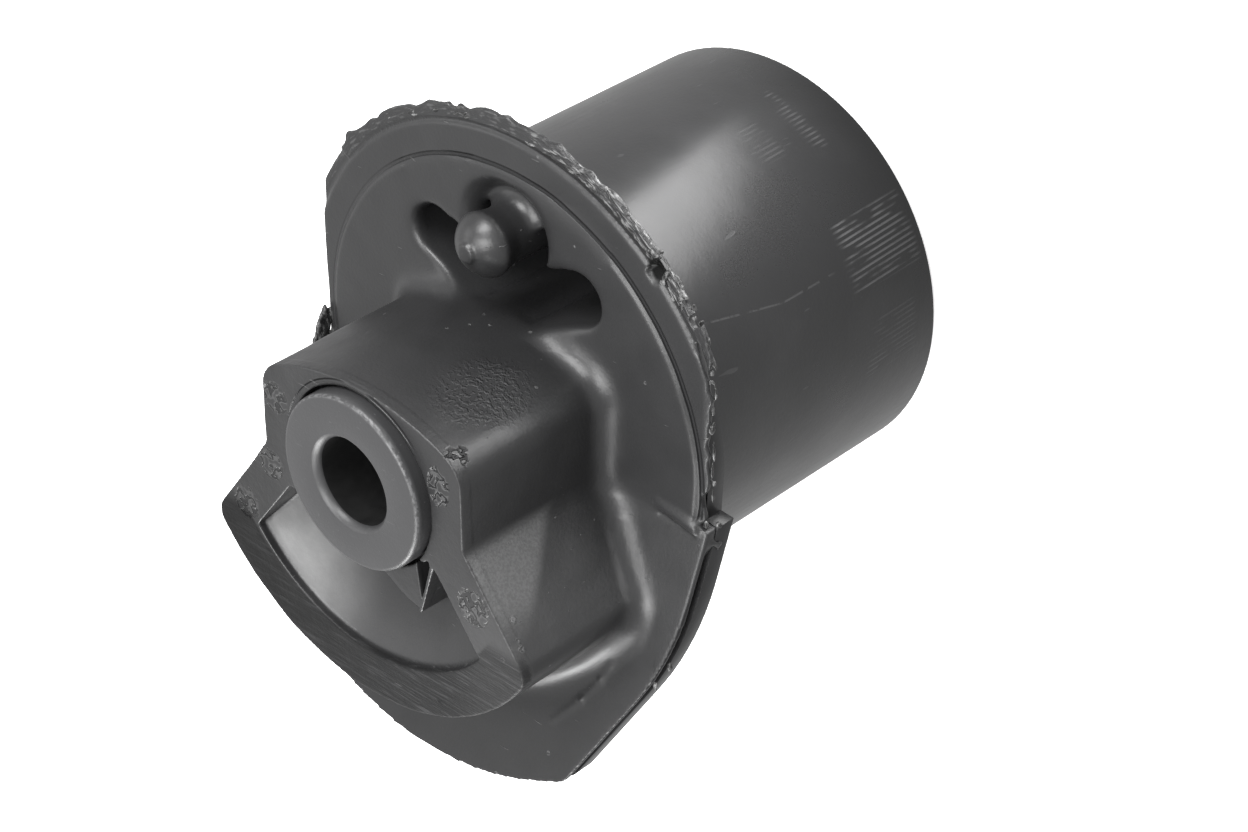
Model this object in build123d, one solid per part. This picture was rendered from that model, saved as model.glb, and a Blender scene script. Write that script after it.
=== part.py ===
from build123d import *
from math import atan2, cos, degrees, hypot, pi, radians, sin, sqrt
import os

# Rubber metal bush. Millimetres. +Z runs along the bore from the rear end at z = 0 to the nose,
# +Y points to the crowned top of the nose, the ear hangs to -Y.

# Levels along the bore
disc_face_z = 52.9
nose_length = 26.1
nose_face_z = disc_face_z + nose_length

# Outer sleeve with its collar and ear plate
sleeve_r = 30.3
sleeve_wall = 2.4
sleeve_rear_chamfer = 0.9
collar_r = 33.7
collar_thickness = 3.0
flange_thickness = 2.1
collar_z = disc_face_z - flange_thickness
collar_back_z = collar_z - collar_thickness

# Flange of the rubber over the sleeve's collar
flange_r = 39.9
right_flat_x = 34.0
left_flat_x = 35.2
disc_r = 33.4
disc_edge = 0.4
disc_height = 0.6
rim_face_z = disc_face_z - disc_height
brim_r = 37.9
brim_drop = 0.5
lip_thickness = 1.0
groove_depth = 0.7

# Ear, a wing of the flange folded towards the nose
fold_y = -5.0
ear_slope = 0.40
ear_half_width = 35.5
ear_shoulder_y = -13.0
ear_knee = (31.4, -29.5)
ear_bulge = (34.6, -21.3)
ear_tip = (24.2, -42.8)
ear_foot_y = -48.4
ear_corner_r = 1.8

# Nose
crown_y = 13.6
crown_r = 38.6
side_x = 18.2
crown_corner_r = 4.8
waist_front_y = -2.8
waist_back_y = -5.2
leg_foot_x = 27.6
leg_foot_y = -15.6
foot_r = 34.3
foot_shift_x = -0.7
foot_corner_r = 3.0
waist_front_r = 1.6
waist_back_r = 5.1
nose_root_depth = 14.0
nose_root_r = 3.6

# Pocket in the front of the nose
pocket_depth = 6.0
pocket_floor_z = nose_face_z - pocket_depth
pocket_edge_depth = 1.2
pocket_r = 27.3
dish_start_r = 14.5
leg_inner_top = (13.4, -7.9)
leg_inner_foot = (20.5, -17.3)
boss_bend = (-2.0, -12.5)
boss_foot = (3.4, -15.6)
boss_set_back = 0.9
boss_face_z = nose_face_z - boss_set_back
boss_edge_r = 1.8
web_thickness = 0.7
web_set_back = 0.2
triangle = ((8.7, -9.9), (12.2, -6.6), (9.5, -15.6))
triangle_depth = 20.4

# Pinched crease and torn lumps where the fold meets the rim
crease_inner_x = 25.5
crease_r = 0.9
lumps = ((34.2, -6.4, -1.3, 3.0), (34.6, -7.8, -1.5, 2.3), (33.2, -7.4, -0.3, 1.9))

# Inner tube
bore_r = 6.2
bore_mouth_r = 7.0
tube_r = 12.3
tube_stand_out = 2.0
tube_end_z = nose_face_z + tube_stand_out
tube_rear_z = 1.0
tube_chamfer = 0.8
lip_gap = 0.4
lip_gap_depth = 3.0

# Boomerang void above the nose, the round well and its buffer nipple
kidney_tip = (12.9, 19.8)
kidney_middle_y = 14.9
kidney_half_width = 3.7
kidney_floor_z = 16.0
tube_lining = 1.2
well_centre = (0.4, 24.6)
well_r = 6.2
well_depth = 12.3
well_floor_z = disc_face_z - well_depth
well_lining = 1.0
nipple_r = 4.7
nipple_shoulder_z = disc_face_z + 3.5
nipple_tip_z = disc_face_z + 6.9
nipple_spot_r = 1.4
nipple_spot_height = 0.4

# Rear end of the rubber
rear_recess_z = 4.0

# Torn flash round the flange
flash_thickness = 0.9
flash_z = rim_face_z - brim_drop - flash_thickness + 0.3
flash_steps = 72

stand = (Align.CENTER, Align.CENTER, Align.MIN)


def slab(face, low, high):
    """The plan shape raised from one level to the other."""
    return extrude(Pos(0, 0, low) * face, amount=high - low)


def round_plan(inset):
    """Plan of the flange above the fold: a disc with two flats."""
    disc = Circle(flange_r - inset)
    width = right_flat_x + left_flat_x - 2 * inset
    band = Pos((right_flat_x - left_flat_x) / 2, 100 + fold_y) * Rectangle(width, 200)
    return disc & band


def ear_plan(inset):
    """Plan of the ear below the fold: straight, bowed and sloping sides and a bowed foot."""
    lines = []
    for side in (-1, 1):
        top = (side * ear_half_width, fold_y + 10)
        shoulder = (side * ear_half_width, ear_shoulder_y)
        bulge = (side * ear_bulge[0], ear_bulge[1])
        knee = (side * ear_knee[0], ear_knee[1])
        tip = (side * ear_tip[0], ear_tip[1])
        lines += [Line(top, shoulder), ThreePointArc(shoulder, bulge, knee), Line(knee, tip)]
    tip_x, tip_y = ear_tip
    foot = ThreePointArc((-tip_x, tip_y), (0, ear_foot_y), (tip_x, tip_y))
    cap = Line((-ear_half_width, fold_y + 10), (ear_half_width, fold_y + 10))
    plan = make_face([*lines, foot, cap])
    plan = fillet(plan.vertices().sort_by(Axis.Y)[:2], ear_corner_r)
    plan = offset(plan, -inset) if inset else plan
    return plan & Pos(0, fold_y - 100) * Rectangle(200, 200)


def ear_level(z):
    """Plane of the ear's surface that starts at height z on the fold line."""
    return Plane(origin=(0, fold_y, z), x_dir=(1, 0, 0), z_dir=(0, ear_slope, 1))


def under_ear(z):
    """Everything below the inclined level through height z on the fold."""
    return extrude(ear_level(z) * Rectangle(240, 240), amount=-90)


def ear_slab(plan, low, high):
    """The ear's plan between two inclined levels."""
    column = slab(plan, low - 4, high + 40)
    return (column & under_ear(high)) - under_ear(low)


def nose_profile(waist_y, waist_r):
    """Outline of the nose: crowned top, straight sides, legs spread on past the round foot."""
    top_y = crown_y - crown_r + sqrt(crown_r**2 - side_x**2)
    past_x = 2 * leg_foot_x - side_x
    past_y = 2 * leg_foot_y - waist_y
    crown = ThreePointArc((-side_x, top_y), (0, crown_y), (side_x, top_y))
    legs = Polyline(
        (side_x, top_y), (side_x, waist_y), (past_x, past_y), (past_x, -2 * foot_r),
        (-past_x, -2 * foot_r), (-past_x, past_y), (-side_x, waist_y), (-side_x, top_y),
    )
    face = make_face([crown, *legs.edges()])
    tops = face.vertices().sort_by(Axis.Y)[-2:]
    face = fillet(tops, crown_corner_r)
    waists = [v for v in face.vertices() if abs(v.Y - waist_y) < 0.01]
    return fillet(waists, waist_r)


def nose_block():
    """The nose from inside the flange to its front face, the waist dropping to the flange, the foot round."""
    root_z = disc_face_z - nose_root_depth
    run = (nose_face_z - root_z) / nose_length
    root_waist = waist_front_y + run * (waist_back_y - waist_front_y)
    waist_root_r = waist_front_r + run * (waist_back_r - waist_front_r)
    front = Pos(0, 0, nose_face_z) * nose_profile(waist_front_y, waist_front_r)
    back = Pos(0, 0, root_z) * nose_profile(root_waist, waist_root_r)
    foot = slab(Pos(foot_shift_x, 0) * Circle(foot_r), root_z, nose_face_z)
    block = loft([back, front], ruled=True) & foot
    on_foot = [e for e in block.edges() if hypot((e @ 0.5).X - foot_shift_x, (e @ 0.5).Y) > foot_r - 0.01]
    corners = [e for e in on_foot if abs((e @ 1).Z - (e @ 0).Z) > nose_length]
    return fillet(corners, foot_corner_r)


def pocket():
    """The open recess between the legs, a dish that deepens from the foot towards the tube."""
    tx, ty = leg_inner_top
    fx, fy = leg_inner_foot
    past_y = -1.1 * pocket_r
    past_x = tx + (fx - tx) * (past_y - ty) / (fy - ty)
    wedge = Polyline((tx, ty), (past_x, past_y), (-past_x, past_y), (-tx, ty), (tx, ty))
    wedge = Pos(foot_shift_x, 0) * make_face(wedge)
    width = pocket_r - dish_start_r
    rise = pocket_depth - pocket_edge_depth
    dish_r = (width**2 + rise**2) / (2 * rise)
    top_z, edge_z = nose_face_z + 1, nose_face_z - pocket_edge_depth
    sweep = degrees(atan2(width, dish_r - rise))
    dish = CenterArc((dish_start_r, pocket_floor_z + dish_r), dish_r, -90, sweep)
    walls = Polyline(
        (pocket_r, edge_z), (pocket_r, top_z), (0, top_z), (0, pocket_floor_z), (dish_start_r, pocket_floor_z)
    )
    section = Plane.XZ * make_face([dish, *walls.edges()])
    return revolve(section, Axis.Z, 360) & slab(wedge, pocket_floor_z, top_z)


def boss_and_web():
    """The rib beside the triangular hole and the thin web closing its open side."""
    (ax, ay), (bx, by), (cx, cy) = triangle
    left, right = (boss_bend[0], 0), (ax, 0)
    outline = Polyline(left, boss_bend, boss_foot, (cx, cy - 1.0), (cx, cy), (ax, ay), right, left)
    boss = slab(make_face(outline) - Circle(tube_r - 1), pocket_floor_z - 2, boss_face_z)
    top = boss.edges().group_by(Axis.Z)[-1]
    rounded = [e for e in top if (e @ 0.5).X < 6 and (e @ 0.5).Y < boss_bend[1] - 0.3]
    boss = fillet(rounded, boss_edge_r)
    length = hypot(bx - cx, by - cy)
    turn = degrees(atan2(by - cy, bx - cx))
    middle = Pos((bx + cx) / 2 + web_thickness / 2, (by + cy) / 2) * Rot(0, 0, turn)
    strip = middle * Rectangle(length + 1.6, web_thickness)
    web = slab(strip, pocket_floor_z - 2, nose_face_z - web_set_back)
    return boss + web


def lined_space(lining):
    """Everything inside the sleeve and above its collar, short of metal by the lining."""
    bore = slab(Circle(sleeve_r - sleeve_wall - lining), -1, nose_face_z)
    above = slab(Circle(flange_r), collar_z + 0.6 * lining, nose_face_z)
    return bore + above


def kidney():
    """The boomerang void with rounded ends and the round well over its middle."""
    tip_x, tip_y = kidney_tip
    arms = Sketch()
    for side in (-1, 1):
        length = hypot(tip_x, tip_y - kidney_middle_y)
        turn = degrees(atan2(tip_y - kidney_middle_y, side * tip_x))
        place = Pos(0, kidney_middle_y) * Rot(0, 0, turn) * Pos(length / 2, 0)
        arms += place * SlotCenterToCenter(length, 2 * kidney_half_width)
    deep = slab(arms - Circle(tube_r + tube_lining), kidney_floor_z, disc_face_z)
    mouth_plan = arms - nose_profile(waist_front_y, waist_front_r)
    void = deep + slab(mouth_plan, disc_face_z - 1, nose_face_z)
    well = slab(Pos(*well_centre) * Circle(well_r), well_floor_z, nose_face_z)
    return (void + well) & lined_space(well_lining)


def nipple():
    """The buffer nipple standing in the well, with the small round gate mark on its tip."""
    rise = nipple_tip_z - nipple_shoulder_z
    stem = Cylinder(nipple_r, nipple_shoulder_z - well_floor_z + 2, align=stand)
    ball_r = (nipple_r**2 + rise**2) / (2 * rise)
    ball = Pos(0, 0, nipple_tip_z - ball_r) * Sphere(ball_r)
    cap = ball & Pos(0, 0, nipple_shoulder_z) * Cylinder(nipple_r, rise + 1, align=stand)
    body = Pos(0, 0, well_floor_z - 2) * stem + cap
    spot = Cylinder(nipple_spot_r, nipple_spot_height + 0.5, align=stand)
    spot = Pos(0, 0, nipple_tip_z - 0.5) * spot
    whole = Pos(well_centre[0], well_centre[1], 0) * (body + spot)
    return whole & lined_space(0)


def flash():
    """Torn flash squeezed out along the parting of the flange, from the right fold to the top left."""
    points = []
    for i in range(flash_steps + 1):
        t = i / flash_steps
        a = radians(-7 + 148 * t)
        rough = sin(37 * t) * sin(101 * t + 1) + 0.7 * sin(173 * t) * cos(61 * t)
        grow = 0.45 + 0.4 * rough + 0.35 * sin(pi * t) ** 2
        edge = min(flange_r, right_flat_x / max(cos(a), 0.01))
        points.append(((edge + grow) * cos(a), (edge + grow) * sin(a)))
    inner = [(20 * cos(radians(141)), 20 * sin(radians(141))), (20, -2)]
    ring = make_face(Polyline(*points, *inner, points[0]))
    ring -= round_plan(groove_depth + 0.6)
    return slab(ring, flash_z, flash_z + flash_thickness)


def torn_lumps():
    """Lumps of torn rubber and the pinched crease at both ends of the fold."""
    lumpy = Part()
    length = right_flat_x - crease_inner_x
    width = 2 * crease_r
    fine, broad = 0.45 * width, 0.55 * width
    ridge = Wedge(width, length, width, fine, fine, broad, broad)
    for side in (-1, 1):
        crease_middle = Pos(side * (crease_inner_x + length / 2), fold_y - 0.4, disc_face_z - 0.3)
        lumpy += crease_middle * Rot(0, 0, side * 90) * Rot(0, 45, 0) * ridge
        for x, y, rise, size in lumps:
            shard = Box(size, 0.9 * size, 0.8 * size)
            turn = Rot(17 * size, 29 * size, side * 11 * size)
            lumpy += Pos(side * x, y, disc_face_z + rise) * turn * shard
    return lumpy


def outer_sleeve():
    """The pressed-in sleeve with its collar and ear plate, one piece."""
    tube = slab(Circle(sleeve_r), 0, collar_back_z + 40)
    upper = tube & half_space(1) & slab(Circle(100), -1, collar_back_z + 1)
    lower = tube & half_space(-1) & under_ear(collar_z - 1)
    collar = slab(Circle(collar_r), collar_back_z, collar_z)
    ear = ear_slab(ear_plan(0), collar_back_z, collar_z)
    body = upper + lower + collar + ear
    rear = body.edges().filter_by(GeomType.CIRCLE).group_by(Axis.Z)[0]
    body = chamfer(rear, sleeve_rear_chamfer)
    return body - slab(Circle(sleeve_r - sleeve_wall), -1, nose_face_z)


def nose_on(ground, level):
    """The nose standing on its ground, with the fillet rolled round its root."""
    joined = ground + nose_block()
    root = [e for e in joined.edges() if abs((e @ 0.5).Z - level((e @ 0.5).Y)) < 0.02]
    root = [e for e in root if hypot((e @ 0.5).X, (e @ 0.5).Y) < foot_r + 3]
    return fillet(root, nose_root_r)


def half_space(side):
    """All that lies above the fold line in plan, or below it."""
    return slab(Pos(0, fold_y + side * 100) * Rectangle(300, 200), -10, 200)


def disc_and_nose():
    """The flange's raised disc with the upper part of the nose."""
    ground = slab(Rectangle(140, 140), disc_face_z - 3, disc_face_z)
    joined = nose_on(ground, lambda y: disc_face_z)
    low_z = rim_face_z - 0.5 * lip_thickness
    column = slab(Circle(disc_r), low_z, nose_face_z + 1)
    tall = disc_face_z - low_z
    face_r = disc_r - disc_edge
    bevel = Pos(0, 0, low_z) * Cone(face_r + tall, face_r, tall, align=stand)
    bevel += slab(Circle(face_r), low_z, nose_face_z + 1)
    return joined & half_space(1) & column & bevel


def ear_and_nose():
    """The face layer of the ear with the legs and foot of the nose."""
    ground = extrude(ear_level(disc_face_z) * Rectangle(160, 160), amount=-3)
    joined = nose_on(ground, lambda y: disc_face_z + ear_slope * (fold_y - y))
    lip_top = slab(ear_plan(0), 0, nose_face_z + 1) - under_ear(disc_face_z - lip_thickness)
    return joined & half_space(-1) & lip_top


def filling():
    """Rubber inside the sleeve, up into the flange and under the ear."""
    column = slab(Circle(sleeve_r - sleeve_wall), rear_recess_z, nose_face_z)
    upper = column & half_space(1) & slab(Circle(100), -1, rim_face_z - 0.4 * lip_thickness)
    lower = column & half_space(-1) & under_ear(disc_face_z - 0.4 * lip_thickness)
    return upper + lower


def triangular_hole():
    """The deep three-sided core hole beside the tube."""
    face = make_face(Polyline(*triangle, triangle[0]))
    return slab(face, nose_face_z - triangle_depth, nose_face_z + 1)


def rubber_body():
    """The one rubber moulding: filling, flange, ear, nose, void, nipple and torn flash."""
    lip_z = rim_face_z - lip_thickness
    rim = slab(round_plan(groove_depth), collar_z, lip_z + 0.1)
    rim += slab(round_plan(0), lip_z, rim_face_z - brim_drop)
    rim += slab(Circle(brim_r) & round_plan(0), lip_z, rim_face_z)
    ear = ear_slab(ear_plan(groove_depth), collar_z, disc_face_z - 0.9 * lip_thickness)
    body = rim + disc_and_nose() + ear + ear_and_nose() + filling()
    body = body - kidney() + nipple()
    body -= pocket() - boss_and_web()
    body -= triangular_hole()
    body -= slab(Circle(tube_r), -1, tube_end_z)
    body -= slab(Circle(tube_r + lip_gap), nose_face_z - lip_gap_depth, tube_end_z)
    whole = body + flash() + (torn_lumps() - outer_sleeve())
    return whole.solids().sort_by(SortBy.VOLUME)[-1]


def inner_tube():
    """The steel tube for the bolt, chamfered inside and out at both ends."""
    body = slab(Circle(tube_r), tube_rear_z, tube_end_z)
    rims = body.edges().filter_by(GeomType.CIRCLE)
    body = chamfer(rims, tube_chamfer)
    body -= slab(Circle(bore_r), -1, tube_end_z + 1)
    mouths = [e for e in body.edges().filter_by(GeomType.CIRCLE) if abs(e.radius - bore_r) < 0.01]
    return chamfer(mouths, bore_mouth_r - bore_r)


os.makedirs("parts", exist_ok=True)
export_step(outer_sleeve(), "parts/outer_sleeve.step")
export_step(rubber_body(), "parts/rubber_body.step")
export_step(inner_tube(), "parts/inner_tube.step")
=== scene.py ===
import bpy
import math
import random
import numpy as np
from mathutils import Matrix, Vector


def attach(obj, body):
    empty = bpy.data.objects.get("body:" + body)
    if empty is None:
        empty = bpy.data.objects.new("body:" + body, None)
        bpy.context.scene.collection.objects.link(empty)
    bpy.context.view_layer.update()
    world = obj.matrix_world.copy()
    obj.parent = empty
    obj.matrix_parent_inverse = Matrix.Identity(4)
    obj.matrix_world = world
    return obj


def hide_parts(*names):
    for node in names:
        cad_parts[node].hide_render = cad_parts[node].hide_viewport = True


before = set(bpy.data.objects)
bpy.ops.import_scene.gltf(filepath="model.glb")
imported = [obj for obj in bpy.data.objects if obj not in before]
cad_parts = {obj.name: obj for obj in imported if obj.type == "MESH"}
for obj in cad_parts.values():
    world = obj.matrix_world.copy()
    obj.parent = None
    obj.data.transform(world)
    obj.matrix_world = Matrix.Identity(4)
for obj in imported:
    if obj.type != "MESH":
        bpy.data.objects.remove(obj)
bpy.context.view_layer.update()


# Camera: a short telephoto view down on the nose, rolled so that the crown of the nose is uppermost. Its place, its
# turn and its lens were fitted to the photograph.
bpy.ops.object.camera_add(location=(0.23796133, 0.21453725, 0.28682258))
camera = bpy.context.object
camera.rotation_euler = (-0.577981847, 0.747934115, 0.000714035)
camera.data.lens = 87.075
camera.data.sensor_width = 36.0
camera.data.clip_start = 0.01
camera.data.clip_end = 20.0
bpy.context.scene.camera = camera
bpy.context.scene.view_settings.view_transform = "Standard"


# Studio: a white floor and surround, as a cut-out product picture has, seen by the camera and by every gloss. Three
# soft lamps hang on the crown side of the nose, two on the ear's side and a weak one at the left, and two low panels
# on the floor beside the bush run a reflection along the round sides.
surround_white = 1.0
surround_on_bush = 0.10
world = bpy.data.worlds.new("studio_surround")
bpy.context.scene.world = world
world.use_nodes = True
surround = world.node_tree.nodes["Background"]
surround.inputs["Color"].default_value = (1, 1, 1, 1)
surround_ray = world.node_tree.nodes.new("ShaderNodeLightPath")
surround_seen = world.node_tree.nodes.new("ShaderNodeMath")
surround_seen.operation = "MAXIMUM"
surround_gloss = world.node_tree.nodes.new("ShaderNodeMath")
surround_gloss.operation = "MAXIMUM"
surround_level = world.node_tree.nodes.new("ShaderNodeMapRange")
surround_level.inputs["To Min"].default_value = surround_on_bush
surround_level.inputs["To Max"].default_value = surround_white
world.node_tree.links.new(surround_ray.outputs["Is Camera Ray"], surround_seen.inputs[0])
world.node_tree.links.new(surround_ray.outputs["Is Transmission Ray"], surround_seen.inputs[1])
world.node_tree.links.new(surround_seen.outputs[0], surround_gloss.inputs[0])
world.node_tree.links.new(surround_ray.outputs["Is Glossy Ray"], surround_gloss.inputs[1])
world.node_tree.links.new(surround_gloss.outputs[0], surround_level.inputs["Value"])
world.node_tree.links.new(surround_level.outputs["Result"], surround.inputs["Strength"])

floor_size = 6.0
floor_grey = 0.08
floor_in_gloss = 0.75
floor_to_camera = 0.80
floor_shadow_grey = 0.9
bpy.ops.object.select_all(action="DESELECT")
bpy.ops.mesh.primitive_plane_add(size=floor_size, location=(0, 0, 0))
floor = bpy.context.object
floor.name = "studio_floor"
floor_paint = bpy.data.materials.new("floor_paint")
floor_paint.use_nodes = True
floor.data.materials.append(floor_paint)
floor_nodes = floor_paint.node_tree.nodes
floor_links = floor_paint.node_tree.links
floor_nodes["Principled BSDF"].inputs["Base Color"].default_value = (floor_grey, floor_grey, floor_grey, 1)
floor_nodes["Principled BSDF"].inputs["Roughness"].default_value = 0.9
floor_ray = floor_nodes.new("ShaderNodeLightPath")
floor_white = floor_nodes.new("ShaderNodeEmission")
floor_white.inputs["Strength"].default_value = floor_in_gloss
floor_seen = floor_nodes.new("ShaderNodeEmission")
floor_seen.inputs["Strength"].default_value = floor_to_camera
floor_shade = floor_nodes.new("ShaderNodeBsdfDiffuse")
floor_shade.inputs["Color"].default_value = (floor_shadow_grey, floor_shadow_grey, floor_shadow_grey, 1)
floor_card = floor_nodes.new("ShaderNodeAddShader")
floor_gloss = floor_nodes.new("ShaderNodeMath")
floor_gloss.operation = "MAXIMUM"
floor_mix = floor_nodes.new("ShaderNodeMixShader")
floor_camera_mix = floor_nodes.new("ShaderNodeMixShader")
floor_links.new(floor_ray.outputs["Is Glossy Ray"], floor_gloss.inputs[0])
floor_links.new(floor_ray.outputs["Is Transmission Ray"], floor_gloss.inputs[1])
floor_links.new(floor_gloss.outputs[0], floor_mix.inputs["Fac"])
floor_links.new(floor_nodes["Principled BSDF"].outputs["BSDF"], floor_mix.inputs[1])
floor_links.new(floor_white.outputs["Emission"], floor_mix.inputs[2])
floor_links.new(floor_seen.outputs["Emission"], floor_card.inputs[0])
floor_links.new(floor_shade.outputs["BSDF"], floor_card.inputs[1])
floor_links.new(floor_ray.outputs["Is Camera Ray"], floor_camera_mix.inputs["Fac"])
floor_links.new(floor_mix.outputs["Shader"], floor_camera_mix.inputs[1])
floor_links.new(floor_card.outputs["Shader"], floor_camera_mix.inputs[2])
floor_links.new(floor_camera_mix.outputs["Shader"], floor_nodes["Material Output"].inputs["Surface"])


def add_lamp(name, place, aim, size, watts):
    """A soft square lamp of the given width, aimed from its place at a point."""
    bpy.ops.object.light_add(type="AREA", location=place)
    lamp = bpy.context.object
    lamp.name = name
    lamp.data.shape = "RECTANGLE"
    lamp.data.size = size
    lamp.data.size_y = size
    lamp.data.energy = watts
    lamp.rotation_euler = (Vector(aim) - Vector(place)).to_track_quat("-Z", "Y").to_euler()
    lamp.visible_camera = False


for name, place, size, watts in (
        ("high_lamp", (0.02, 0.12, 0.55), 0.26, 1.7), ("right_lamp", (0.194, 0.194, 0.526), 0.26, 2.7),
        ("crown_lamp", (-0.03, 0.475, 0.325), 0.26, 4.1), ("ear_lamp", (0.194, -0.337, 0.439), 0.26, 1.6),
        ("foot_lamp", (0.05, -0.510, 0.240), 0.26, 3.6), ("left_lamp", (-0.35, 0.15, 0.40), 0.25, 0.5)):
    add_lamp(name, place, (0, 0, 0.05), size, watts)
for name, place, size, watts in (("floor_panel", (0.115, 0.150, 0.002), 0.17, 0.6),
                                 ("near_panel", (0.033, 0.074, 0.002), 0.065, 0.12)):
    add_lamp(name, place, (place[0], place[1], 1.0), size, watts)


# Outer sleeve: pressed steel, turned out into the collar and the ear plate, dipped in black satin paint. The press
# tools and the rack it was rolled on left rows of fine lines, a seam scratch and a dull bloom in the paint.
def take_copy(name, node):
    """A copy of a solid's mesh with its triangles joined, to be finished further."""
    piece = bpy.data.objects.new(name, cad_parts[node].data.copy())
    bpy.context.scene.collection.objects.link(piece)
    bpy.ops.object.select_all(action="DESELECT")
    bpy.context.view_layer.objects.active = piece
    piece.select_set(True)
    bpy.ops.mesh.customdata_custom_splitnormals_clear()
    bpy.ops.object.mode_set(mode="EDIT")
    bpy.ops.mesh.select_all(action="SELECT")
    bpy.ops.mesh.remove_doubles(threshold=0.000002)
    bpy.ops.object.mode_set(mode="OBJECT")
    return piece


def apply_all(piece):
    """Applies the piece's modifiers from the first to the last."""
    bpy.ops.object.select_all(action="DESELECT")
    bpy.context.view_layer.objects.active = piece
    piece.select_set(True)
    for modifier in list(piece.modifiers):
        bpy.ops.object.modifier_apply(modifier=modifier.name)


def places_of(piece):
    """The places of the piece's vertices in millimetres, one row each."""
    places = np.empty(len(piece.data.vertices) * 3)
    piece.data.vertices.foreach_get("co", places)
    return places.reshape(-1, 3) * 1000


def put_places(piece, places):
    """Moves the piece's vertices to new places in millimetres."""
    piece.data.vertices.foreach_set("co", (places / 1000).reshape(-1))
    piece.data.update()


def corner_pull(places):
    """How far, in millimetres, each place moves where the ear's upper right corner is worn round."""
    ear_corner_x, ear_corner_y, reach = 36.0, -2.2, 2.6
    off_corner = np.hypot(places[:, 0] - ear_corner_x, places[:, 1] - ear_corner_y)
    pull = np.exp(-(off_corner / reach) ** 2) * (places[:, 2] > 44)
    return np.outer(pull, (-0.55, -0.9, 0.0))


def new_finish(name, colour, roughness, level):
    """A finish with its shader set: colour, roughness and how strongly its skin mirrors."""
    finish = bpy.data.materials.new(name)
    finish.use_nodes = True
    shader = finish.node_tree.nodes["Principled BSDF"]
    shader.inputs["Base Color"].default_value = (*colour, 1)
    shader.inputs["Roughness"].default_value = roughness
    shader.inputs["Specular IOR Level"].default_value = level
    return finish


def step(finish, operation, first, second=0.0, third=None):
    """One sum of a finish: numbers or sockets go in, the result's socket comes out."""
    sum_node = finish.node_tree.nodes.new("ShaderNodeMath")
    sum_node.operation = operation
    for place, value in enumerate((first, second, third)):
        if isinstance(value, bpy.types.NodeSocket):
            finish.node_tree.links.new(value, sum_node.inputs[place])
        elif value is not None:
            sum_node.inputs[place].default_value = value
    return sum_node.outputs[0]


def times(finish, *values):
    """The product of several masks."""
    result = values[0]
    for value in values[1:]:
        result = step(finish, "MULTIPLY", result, value)
    return result


def most(finish, *values):
    """The strongest of several masks."""
    result = values[0]
    for value in values[1:]:
        result = step(finish, "MAXIMUM", result, value)
    return result


def fade(finish, value, start, full, low=0.0, high=1.0):
    """Runs softly from low to high while the value goes from start to full."""
    ramp = finish.node_tree.nodes.new("ShaderNodeMapRange")
    ramp.interpolation_type = "SMOOTHSTEP"
    ramp.inputs["From Min"].default_value = start
    ramp.inputs["From Max"].default_value = full
    ramp.inputs["To Min"].default_value = low
    ramp.inputs["To Max"].default_value = high
    finish.node_tree.links.new(value, ramp.inputs["Value"])
    return ramp.outputs["Result"]


def place_on(finish, scale=(1000, 1000, 1000), turn=(0, 0, 0)):
    """The place on the piece in millimetres, or stretched and turned as a grain needs."""
    nodes = finish.node_tree.nodes
    here = nodes.get("Texture Coordinate") or nodes.new("ShaderNodeTexCoord")
    spread = nodes.new("ShaderNodeMapping")
    spread.inputs["Scale"].default_value = scale
    spread.inputs["Rotation"].default_value = turn
    finish.node_tree.links.new(here.outputs["Object"], spread.inputs["Vector"])
    return spread.outputs["Vector"]


def apart(finish, place):
    """The three numbers of a place."""
    split = finish.node_tree.nodes.new("ShaderNodeSeparateXYZ")
    finish.node_tree.links.new(place, split.inputs["Vector"])
    return split.outputs["X"], split.outputs["Y"], split.outputs["Z"]


def grain(finish, size, detail=2.0, stretch=(1, 1, 1), turn=(0, 0, 0), rough=0.5):
    """Grey noise whose spots are about the given size in millimetres."""
    cloud = finish.node_tree.nodes.new("ShaderNodeTexNoise")
    cloud.inputs["Scale"].default_value = 1.0 / size
    cloud.inputs["Detail"].default_value = detail
    cloud.inputs["Roughness"].default_value = rough
    finish.node_tree.links.new(place_on(finish, [1000 / s for s in stretch], turn), cloud.inputs["Vector"])
    return cloud.outputs["Fac"]


def raise_skin(finish, height, distance, strength=1.0, under=None):
    """A relief of the given height in millimetres on the skin, laid over the one under it."""
    relief = finish.node_tree.nodes.new("ShaderNodeBump")
    relief.inputs["Distance"].default_value = distance / 1000
    relief.inputs["Strength"].default_value = strength
    finish.node_tree.links.new(height, relief.inputs["Height"])
    if under is not None:
        finish.node_tree.links.new(under, relief.inputs["Normal"])
    return relief.outputs["Normal"]


def tint(finish, amount, dark, light):
    """A colour from dark to light as the amount goes from 0 to 1; either may be a socket."""
    blend = finish.node_tree.nodes.new("ShaderNodeMix")
    blend.data_type = "RGBA"
    for name, grey in (("A", dark), ("B", light)):
        if isinstance(grey, bpy.types.NodeSocket):
            finish.node_tree.links.new(grey, blend.inputs[name])
        else:
            blend.inputs[name].default_value = (*grey, 1)
    finish.node_tree.links.new(amount, blend.inputs["Factor"])
    return blend.outputs["Result"]


def lay_on(finish, colour, roughness, normal):
    """Puts the sums for colour, roughness and relief on the finish's shader."""
    shader = finish.node_tree.nodes["Principled BSDF"]
    for name, value in (("Base Color", colour), ("Roughness", roughness), ("Normal", normal)):
        finish.node_tree.links.new(value, shader.inputs[name])


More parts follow.
